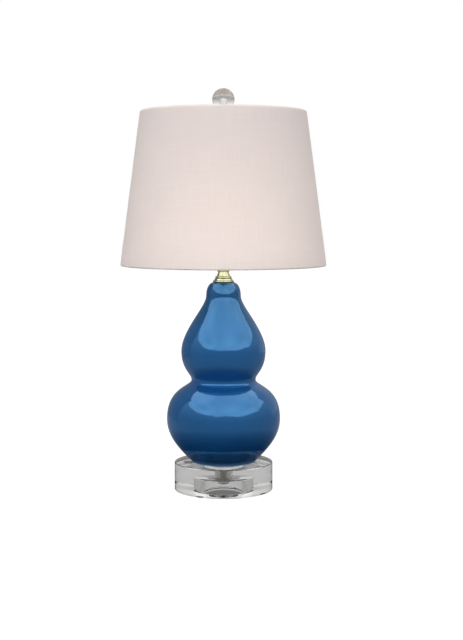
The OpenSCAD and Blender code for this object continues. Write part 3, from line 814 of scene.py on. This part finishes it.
def build_socket():
    low, high = span("socket_cap")
    hub_r, hub_h, r, sheet = 7.2, 4, high.x, 0.7
    cup = cubic([
        [hub_r, low.z + hub_h], [hub_r + 5, low.z + hub_h + 0.5],
        [r, low.z + hub_h + 4], [r, low.z + hub_h + 9]
    ], 14)
    outline = [[BORE_R, low.z], [hub_r - 0.3, low.z], [hub_r, low.z + 0.3]] + cup
    outline += arc([r - 0.5, low.z + 15], 0.9, -50, 50, 6)
    outline += [[r, high.z - 0.2], [r - 0.2, high.z], [r - sheet, high.z]]
    outline += beside(cup, sheet)[::-1] + [[BORE_R, low.z + hub_h + sheet]]
    new_piece("socket_cup", lathe(outline, 96), BRASS, "socket_cap")

    low, high = span("socket_shell")
    r = high.x - 0.6
    outline = [[r - sheet, low.z], [r + 0.3, low.z], [r + 0.4, low.z + 0.4], [r, low.z + 1.5]]
    for rib_z in (low.z + 6, low.z + 8.4):
        outline += arc([r - 0.35, rib_z], 0.75, -62, 62, 6)
    outline += arc([r - 0.1, high.z - 0.65], 0.65, -80, 100, 8)
    outline += [[r - sheet, high.z - 0.2]]
    shell = new_piece("socket_sleeve", lathe(outline, 128), BRASS, "socket_shell")
    axis_z = sum(corner.z for corner in span("switch_shaft")) / 2
    hole_r, reach = 3.4, 24
    cut_out(shell, placed(lathe(band(0, hole_r, 0, reach), 40), shift(0, 0, axis_z) @ spun(90, "X")))

    low, high = span("screw_shell")
    r, seat_r, step = high.x, 8, BULB_PITCH / 3
    outline = [[seat_r, low.z], [r - 0.6, low.z]] + screw(low.z + 0.8, high.z - 0.8, r, step)
    outline += [[r, high.z], [r - sheet, high.z]]
    outline += screw(low.z + 0.9, high.z - 0.9, r - sheet, step)[::-1] + [[seat_r, low.z + sheet]]
    thread = helix(BULB_PITCH, 0.25, r - 1)
    new_piece("socket_screw_shell", lathe(outline, 72, thread), CONTACT_BRASS, "screw_shell")

    low, high = span("set_screw")
    place = shift(0, low.y, (low.z + high.z) / 2)
    grub = placed(lathe(rounded(band(0, 1.5, 0, 4), 0.35), 32), place @ spun(-90, "X"))
    slot = [Vector((x, y, z)) for x in (-0.3, 0.3) for y in (3.3, 6) for z in (-3, 3)]
    faces = [(0, 1, 3, 2), (4, 6, 7, 5), (0, 4, 5, 1), (2, 3, 7, 6), (0, 2, 6, 4), (1, 5, 7, 3)]
    cut_out(new_piece("cap_set_screw", grub, STEEL, "set_screw"), placed((slot, faces), place))


def build_switch():
    low, high = span("switch_knob")
    middle = (low + high) / 2
    r, h, flutes = (high.x - low.x) / 2, high.y - low.y, 18
    outline = rounded([[0, 0], [r - 0.5, 0], [r, 0.7], [r, h - 0.4], [r - 1.2, h], [0, h - 0.3]], 0.6)
    outline = [p for p in outline if p[1] < 1] + [[r, z] for z in (1.2, 2, h / 2, h - 1.5)] + [
        p for p in outline if p[1] > h - 1
    ]

    def fluted(angle, radius, z):
        if radius < r - 1 or z < 1.1:
            return radius
        return radius - 0.45 * (0.5 + 0.5 * cos(flutes * angle)) ** 2

    shape = placed(lathe(outline, 180, fluted), shift(0, high.y, middle.z) @ spun(90, "X"))
    new_piece("rotary_knob", shape, KNOB, "switch_knob")


def build_bulb():
    low, high = span("bulb_base")
    r, lip, step = high.x, 9.2, BULB_PITCH / 3
    outline = [[lip, low.z], [r - 1.4, low.z]] + screw(low.z + 1.4, high.z - 4, r, step)
    outline += [[r - 0.4, high.z - 3], [r - 0.2, high.z - 0.3], [r - 0.5, high.z], [r - 0.9, high.z]]
    outline += [[r - 0.9, high.z - 3.4]] + screw(low.z + 1.8, high.z - 4.2, r - 0.5, step)[::-1]
    outline += [[lip, low.z + 1.6]]

    def rolled(angle, radius, z):
        return helix(BULB_PITCH, 0.5, r - 0.6)(angle, radius, z) if z < high.z - 3.9 else radius

    new_piece("bulb_screw_base", lathe(outline, 72, rolled), BULB_METAL, "bulb_base")

    low, high = span("bulb_insulator")
    tip_r, wide_r = 4.1, high.x
    outline = rounded([[0, low.z], [tip_r, low.z], [wide_r, high.z], [0, high.z]], 0.6)
    new_piece("bulb_black_cone", lathe(outline, 64), BLACK_GLASS, "bulb_insulator")

    low, high = span("bulb_glass")
    globe_r, wall, shoulder = high.x, 1, 28
    centre = [0, high.z - globe_r]
    lean = radians(shoulder)
    join = [globe_r * cos(lean), centre[1] - globe_r * sin(lean)]
    throat = cubic([
        [13.6, low.z], [13.6, low.z + 12],
        [join[0] - 16 * sin(lean), join[1] - 16 * cos(lean)], join
    ], 14)
    outside = throat + arc(centre, globe_r, -shoulder, 90, 28)[1:-1]
    outline = outside + [[0, high.z], [0, high.z - wall]] + beside(outside, wall)[::-1]
    new_piece("bulb_globe", lathe(outline, 96), BULB_GLASS, "bulb_glass")


# ---- Shade ----

FABRIC_T = 0.6
SEAM_OVERLAP = 10
SEAM_AT = 90
SHADE_LOW, SHADE_HIGH = span("shade_fabric")
SHADE_R = SHADE_HIGH.x
SHADE_TOP_R = 0.801 * SHADE_R


def shade_r(z):
    """Radius of the shade's outside at a height."""
    return SHADE_R + (SHADE_TOP_R - SHADE_R) * (z - SHADE_LOW.z) / (SHADE_HIGH.z - SHADE_LOW.z)


def fabric_section():
    """The cloth's middle line in section: down inside the bottom hoop, under it, up the outside, over the top
    hoop and down inside."""
    bottom, top, bottom_r, top_r = SHADE_LOW.z, SHADE_HIGH.z, SHADE_R, SHADE_TOP_R
    half = FABRIC_T / 2
    turned_in, glued_from, wire_d = 14, 7.6, 3.2
    stuck = 1.5 + half + 0.05
    inside_low, inside_high = (
        span(hoop)[1].x - wire_d - half - 0.1 for hoop in ("bottom_ring", "top_ring")
    )
    low_band, low_glue = bottom + turned_in, bottom + glued_from
    high_band, high_glue = top - turned_in, top - glued_from
    corners = [
        [shade_r(low_band) - stuck, low_band], [shade_r(low_glue) - stuck, low_glue],
        [inside_low, bottom + 3.4], [inside_low, bottom + half], [bottom_r - half, bottom + half],
        [top_r - half, top - half], [inside_high, top - half], [inside_high, top - 3.4],
        [shade_r(high_glue) - stuck, high_glue], [shade_r(high_band) - stuck, high_band]
    ]
    radii = [0, 2, 2, 1.9, 1.7, 3.6, 1.4, 2, 2, 0]
    points = rounded(corners, radii, closed=False, steps=6, most=0.68)
    fine = [points[0]]
    for a, b in zip(points, points[1:]):
        parts = max(1, round(dist(a, b) / 12))
        fine += [[a[k] + (b[k] - a[k]) * i / parts for k in (0, 1)] for i in range(1, parts + 1)]
    return fine


def build_fabric():
    """One strip of cloth, cut as a sector of a ring, turned in over both hoops and lapped at the back."""
    bottom, top, bottom_r, top_r = SHADE_LOW.z, SHADE_HIGH.z, SHADE_R, SHADE_TOP_R
    section = fabric_section()
    sides = beside(section, -1)
    lengths = [0]
    for a, b in zip(section, section[1:]):
        lengths.append(lengths[-1] + dist(a, b))
    slant = (bottom_r - top_r) / hypot(bottom_r - top_r, top - bottom)
    middle = len(section) // 2
    apex_at_middle = section[middle][0] / slant
    from_apex = [apex_at_middle + lengths[middle] - s for s in lengths]
    sweep = TURN + SEAM_OVERLAP / bottom_r
    columns = 200
    points, faces, uvs = [], [], []
    for c in range(columns + 1):
        share = c / columns
        turned = (share - 0.5) * sweep
        angle = radians(SEAM_AT) + pi + turned
        to_end = (1 - share) * sweep * bottom_r
        lap = 0.68 * min(1, max(0, (SEAM_OVERLAP + 5 - to_end) / 5))
        for row, ((r, z), (side_r, side_z)) in enumerate(zip(section, sides)):
            ripple = 0.12 * noise.noise(Vector((cos(angle), sin(angle), z / 50)) * 2.2)
            out = lap + ripple
            r, z = r + (side_r - r) * out, z + (side_z - z) * out
            points.append(Vector((r * cos(angle), r * sin(angle), z)))
            flat = turned * slant
            uvs.append((from_apex[row] * sin(flat) * MM, from_apex[row] * cos(flat) * MM))
    rows = len(section)
    for c in range(columns):
        for row in range(rows - 1):
            a, b = c * rows + row, (c + 1) * rows + row
            faces.append((a, b, b + 1, a + 1))
    cloth = new_piece(
        "shade_cloth", (points, faces), FABRIC, "shade_fabric", "top_hem", "bottom_hem", sharp_from=60
    )
    layer = cloth.data.uv_layers.new(name="flat_cut")
    for loop in cloth.data.loops:
        layer.data[loop.index].uv = uvs[loop.vertex_index]
    thick = cloth.modifiers.new("thickness", "SOLIDIFY")
    thick.thickness = FABRIC_T * MM
    thick.offset = 0
    outer, inner, angle = from_apex[0], from_apex[-1], sweep * slant
    return cloth


def build_liner():
    low, high = span("shade_liner")
    z0, z1 = low.z + 0.3, high.z - 1.9
    outer, sheet, overlap, rows = 0.72, 0.8, 0.75, 8
    heights = [z0 + (z1 - z0) * i / rows for i in range(rows + 1)]
    outline = [[shade_r(z) - outer, z] for z in heights]
    outline += [[shade_r(z) - outer - sheet, z] for z in reversed(heights)]

    def lapped(angle, r, z):
        """The sheet's lapped joint shows inside, at the back."""
        off_seam = abs((degrees(angle) - SEAM_AT + 180) % 360 - 180)
        inside = r < shade_r(z) - outer - sheet / 2
        return r - overlap if inside and off_seam < 4.2 else r

    return new_piece("shade_card", lathe(outline, 240, lapped), LINER, "shade_liner")


def build_shade_frame():
    hoops = {}
    for name, node in (("shade_hoop_top", "top_ring"), ("shade_hoop_bottom", "bottom_ring")):
        low, high = span(node)
        wire = (high.z - low.z) / 2
        hoops[node] = (high.x - wire, (low.z + high.z) / 2)
        path = [Vector((x, y, hoops[node][1])) for x, y in arc((0, 0), hoops[node][0], 0, 360, 144)[:-1]]
        hoop = new_piece(name, tube(path, wire, 16, closed=True), BRASS, node)
        hoop.visible_glossy = False
    low = span("spider")[0]
    hoop_r, hoop_z = hoops["top_ring"]
    washer_r, washer_t, hole_r, arm_r, arms, steps = 13, 1.5, 3.5, 1.3, 3, 24
    parts = [lathe(rounded(band(hole_r, washer_r, low.z, low.z + washer_t), 0.45), 64)]
    start = Vector((washer_r - 3, 0, low.z + washer_t / 2))
    run = Vector((hoop_r, 0, hoop_z)) - start
    path = []
    for i in range(steps + 1):
        share = i / steps
        rise = share * share * (3 - 2 * share) * 0.35 + share * 0.65
        path.append(start + Vector((run.x * share, 0, run.z * rise)))
    weld = lathe(arc([0, 0], 2.3, -90, 90, 10), 24)
    weld = placed(weld, shift(hoop_r - 1.2, 0, hoop_z) @ Matrix.Diagonal((0.75, 1.3, 0.72, 1)))
    for arm in range(arms):
        turn = spun(360 / arms * (arm + 1))
        parts += [placed(tube(path, arm_r, 16), turn), placed(weld, turn)]
    new_piece("shade_spider", joined(parts), BRASS, "spider")


# ---- Finial ----


def build_finial():
    low, high = span("finial_base")
    ball_low, ball_high = span("finial_ball")
    ball_r, ball_z = (ball_high.z - ball_low.z) / 2, (ball_low.z + ball_high.z) / 2
    flange_r, waist_r, cup_r, bore_r, peg_r, peg_h = 9, 5.6, 9.4, 3.3, 2.8, 3
    bore_top = span("harp_stud")[1].z + 0.3
    outline = [[0, bore_top], [bore_r, bore_top]]
    outline += rounded([
        [bore_r, low.z], [flange_r, low.z], [flange_r, low.z + 1.6], [flange_r - 0.9, low.z + 2]
    ], [0, 0.5, 0.5, 0], closed=False)
    outline += cubic([
        [waist_r + 1.4, low.z + 2.6], [waist_r - 0.6, low.z + 4.4],
        [waist_r - 0.9, low.z + 7.4], [cup_r - 1.6, high.z - 2.6]
    ], 12)
    outline += arc([cup_r - 0.9, high.z - 1.4], 0.9, -50, 80, 8)
    seat = arc([0, ball_z], ball_r + 0.06, -90 + 34, -90 + 13, 8)
    peg_top = seat[-1][1] + peg_h
    outline += seat + [[peg_r, seat[-1][1]], [peg_r, peg_top - 0.4], [peg_r - 0.4, peg_top], [0, peg_top]]
    new_piece("finial_stem", lathe(outline, 96), BRASS, "finial_base")

    hole_r, tip_z = peg_r + 0.3, ball_z + 1.5
    lip = -degrees(acos(hole_r / ball_r))
    outline = [[0, tip_z], [hole_r, tip_z - 1.4]] + arc([0, ball_z], ball_r, lip, 90, 60)
    ball = new_piece("finial_crystal", lathe(outline, 128), CRYSTAL, "finial_ball")
    ball.visible_shadow = False
    paint_faces(ball, FROSTED, lambda middle, _: middle.xy.length < hole_r + 0.01 and middle.z < tip_z)


# ---- CAD nodes that keep their shape ----


def finish_cad(node, look, edge_mm):
    """Rounds a CAD node's edges and gives it its material."""
    kept = frame["nodes"][node]
    weld = kept.modifiers.new("weld", "WELD")
    weld.merge_threshold = 0.002 * MM
    bevel = kept.modifiers.new("bevel", "BEVEL")
    bevel.width = edge_mm * MM
    bevel.segments = 2
    bevel.limit_method = "ANGLE"
    bevel.angle_limit = radians(35)
    kept.data.materials.clear()
    kept.data.materials.append(look)


# ---- Stage, light and camera ----


def softbox_look(name, glow, uneven=0.0):
    """Cool white panel whose glow varies softly, and is dimmer through crystal."""
    look = Look(name)
    cloud = look.noise(550, detail=1)
    strength = look.remap(cloud, 0.3, 0.7, glow * (1 - uneven), glow * (1 + uneven))
    through = look.add("ShaderNodeLightPath").outputs["Is Transmission Ray"]
    strength = look.maths("MULTIPLY", strength, look.remap(through, 0, 1, 1, 0.45))
    inputs = {"Color": (0.98, 0.99, 1, 1), "Strength": strength}
    return look.finish(look.add("ShaderNodeEmission", inputs))


def floor_look():
    """White to the camera with only a breath of shadow, grey through crystal with painted shadow under the
    plinth's recess and round its edge, and in reflections darker the nearer it is to the lamp, as painted
    shade. From below it is clear, so that the lamp's underside can be seen."""
    look = Look("floor_white")
    away = look.add("ShaderNodeVectorMath", {0: look.place}, operation="LENGTH").outputs["Value"]
    # painted shade: in reflections the floor glows less the nearer it is to the lamp
    mirrored = look.remap(away, 0.10, 0.30, 0.0, 0.36)
    recess_r, plinth_r = RECESS_R * MM, span("crystal_base")[1].x * MM
    # painted shadow under the plinth's recess, seen through the crystal
    under_recess = look.remap(away, recess_r - 0.003, recess_r + 0.007, 0.14, 0.48)
    behind = look.remap(away, 0.10, 0.45, 0.48, 0.31)
    straight = look.maths("MINIMUM", under_recess, behind)
    # painted shadow round the plinth's edge, seen after a reflection inside the crystal
    bounced = look.remap(away, plinth_r - 0.007, plinth_r + 0.013, 0.02, 0.32)
    bounces = look.add("ShaderNodeLightPath").outputs["Glossy Depth"]
    through = look.remap(bounces, 0, 1, straight, bounced)

    def lit(glow, paint):
        emission = look.add("ShaderNodeEmission", {"Strength": glow})
        diffuse = look.add("ShaderNodeBsdfDiffuse", {"Color": grey(paint)})
        return look.add("ShaderNodeAddShader", {0: emission.outputs[0], 1: diffuse.outputs[0]})

    above = look.by_ray(lit(0.0, 0.08), {
        "Is Glossy Ray": lit(mirrored, 0.0), "Is Transmission Ray": lit(through, 0.05),
        "Is Camera Ray": lit(0.93, 0.16)
    })
    from_below = look.add("ShaderNodeNewGeometry").outputs["Backfacing"]
    return look.finish(look.mixed(from_below, above, look.add("ShaderNodeBsdfTransparent")))


def stage_piece(name, points, faces, look):
    mesh = bpy.data.meshes.new(name)
    mesh.from_pydata(points, [], faces)
    mesh.materials.append(look)
    piece = add_object(name, mesh)
    return piece


def curved_wall(name, radius, from_deg, to_deg, low, high, look, steps=48):
    """Upright curved panel round the lamp, in metres. Azimuth 0 is in front and 90 on the right."""
    points = []
    for i in range(steps + 1):
        azimuth = radians(from_deg + (to_deg - from_deg) * i / steps)
        for z in (low, high):
            points.append((radius * sin(azimuth), -radius * cos(azimuth), z))
    faces = [(2 * i, 2 * i + 1, 2 * i + 3, 2 * i + 2) for i in range(steps)]
    return stage_piece(name, points, faces, look)


def octagon(name, azimuth, elevation, distance, radius, widen, look):
    """Flat eight-sided panel that faces the lamp's body, in metres and degrees."""
    azimuth, elevation = radians(azimuth), radians(elevation)
    away = Vector((
        sin(azimuth) * cos(elevation), -cos(azimuth) * cos(elevation), sin(elevation)
    ))
    across = away.cross(Vector((0, 0, 1))).normalized()
    upward = across.cross(away)
    centre = Vector((0, 0, 0.2)) + distance * away
    corners = []
    for k in range(8):
        turn = TURN * (k + 0.5) / 8
        corners.append(centre + radius * (widen * cos(turn) * across + sin(turn) * upward))
    return stage_piece(name, corners, [tuple(range(8))], look)


def hang_light(data, place, target, power):
    """Aims a light that shows in no reflection."""
    data.energy = power
    light = add_object(data.name, data)
    light.location = place
    light.rotation_euler = (Vector(target) - Vector(place)).to_track_quat("-Z", "Y").to_euler()
    light.visible_camera = False
    light.visible_glossy = False
    light.visible_transmission = False


def area_light(name, place, target, size, power):
    data = bpy.data.lights.new(name, "AREA")
    data.shape = "RECTANGLE"
    data.size, data.size_y = size
    hang_light(data, place, target, power)


def spot_light(name, place, target, spread_deg, power, colour):
    data = bpy.data.lights.new(name, "SPOT")
    data.spot_size = radians(spread_deg)
    data.spot_blend = 1
    data.shadow_soft_size = 0.01
    data.color = colour
    hang_light(data, place, target, power)


def build_studio():
    """Floor and softboxes."""
    half = 8
    corners = [(-half, -half, 0), (half, -half, 0), (half, half, 0), (-half, half, 0)]
    floor = stage_piece("floor", corners, [(0, 1, 2, 3)], floor_look())
    floor.visible_shadow = False

    roof = octagon(
        "roof_softbox", azimuth=12, elevation=70, distance=0.62, radius=1.12, widen=1.34,
        look=softbox_look("softbox_roof", 1.8, 0.15)
    )
    side = curved_wall("side_softbox", 0.9, 112, 148, 0.10, 1.0, softbox_look("softbox_side", 0.55))
    shadow = curved_wall("dark_flag", 0.9, -165, -98, 0.0, 1.3, softbox_look("flag_dark", 0.26))
    side.visible_transmission = False
    shadow.visible_transmission = False
    for panel in (roof, side, shadow):
        panel.visible_camera = False
        panel.visible_diffuse = False
        panel.visible_shadow = False


def build_lights():
    area_light("key", (-0.9, -2.2, 1.2), (0, 0, 0.3), (1.6, 1.6), 15)
    area_light("fill", (1.9, -1.4, 0.5), (0, 0, 0.3), (1.6, 1.6), 12)
    area_light("left", (-1.6, -0.9, 0.4), (0, 0, 0.4), (0.8, 0.8), 6)
    area_light("high", (0.2, -1.3, 1.35), (0, 0, 0.2), (1.2, 1.2), 7)
    area_light("rear", (0.4, 2.4, 1.4), (0, 0, 0.3), (2.0, 1.6), 27)

    warm, cream = (1, 0.55, 0.26), (1, 0.90, 0.82)
    spot_light("bulb_glow_low", (0, -0.034, 0.40), (0, -0.134, 0.29), 150, 0.9, warm)
    spot_light("bulb_glow_high", (0, -0.034, 0.43), (0, -0.134, 0.48), 150, 0.35, warm)
    spot_light("shade_left", (-0.55, -1.1, 0.08), (-0.07, 0, 0.33), 20, 9, cream)
    spot_light("shade_right", (0.55, -1.1, 0.08), (0.07, 0, 0.33), 20, 10.5, cream)


def build_world():
    """White to the camera, and a soft grey sky that is darker in reflections and through crystal."""
    world = bpy.data.worlds.new("studio")
    bpy.context.scene.world = world
    sky = Nodes(world)
    facing = sky.add("ShaderNodeTexCoord").outputs["Generated"]
    rise = sky.add("ShaderNodeSeparateXYZ", {0: facing}).outputs["Z"]

    def graded(horizon, overhead, full_at=1):
        """From one colour at the horizon to another overhead."""
        ramp = sky.add("ShaderNodeValToRGB", {0: rise})
        first, last = ramp.color_ramp.elements
        first.color = horizon
        last.color = overhead
        last.position = full_at
        return sky.add("ShaderNodeBackground", {"Color": ramp.outputs[0]})

    seen = sky.tree.nodes["Background"]
    sky.feed(seen.inputs["Color"], grey(1))
    overhead = (0.92, 0.93, 0.95, 1)
    shown = sky.by_ray(graded((0.52, 0.52, 0.51, 1), overhead), {
        "Is Glossy Ray": graded(grey(0.36), overhead),
        "Is Transmission Ray": graded((0.32, 0.32, 0.31, 1), grey(1), 0.5), "Is Camera Ray": seen
    })
    sky.feed(sky.tree.nodes["World Output"].inputs["Surface"], shown.outputs[0])


def build_camera():
    """About 1.8 m in front of the lamp and as high as the shade, looking slightly down."""
    data = bpy.data.cameras.new("camera")
    data.lens = 74.6
    data.sensor_width = 36
    camera = add_object("camera", data)
    camera.location = (0.0109, -1.8, 0.3885)
    look_down = 4.9
    camera.rotation_euler = (radians(90 - look_down), 0, 0)
    bpy.context.scene.camera = camera


build_gourd()
build_bushing()
build_plinth()
build_bumpers()
build_underside()
build_rod()
build_neck()
build_harp()
build_socket()
build_switch()
build_bulb()
liner = build_liner()
build_shade_frame()
cloth = build_fabric()
for skin in (liner, cloth):
    skin.visible_glossy = False  # leaves the studio's light, not the shade, in the glaze and the crystal
build_finial()
for node, look, edge_mm in (
    ("mouth_plug", RUBBER, 0.2), ("harp_saddle", BRASS, 0.3), ("shell_liner", CARD, 0.1),
    ("socket_body", PHENOLIC, 0.3), ("centre_contact", CONTACT_BRASS, 0.1), ("terminal_screws", BRASS, 0.2),
    ("switch_shaft", STEEL, 0.2), ("bulb_tip", BULB_METAL, 0.2)
):
    finish_cad(node, look, edge_mm)

bpy.context.scene.view_settings.view_transform = "Standard"
build_studio()
build_lights()
build_world()
build_camera()
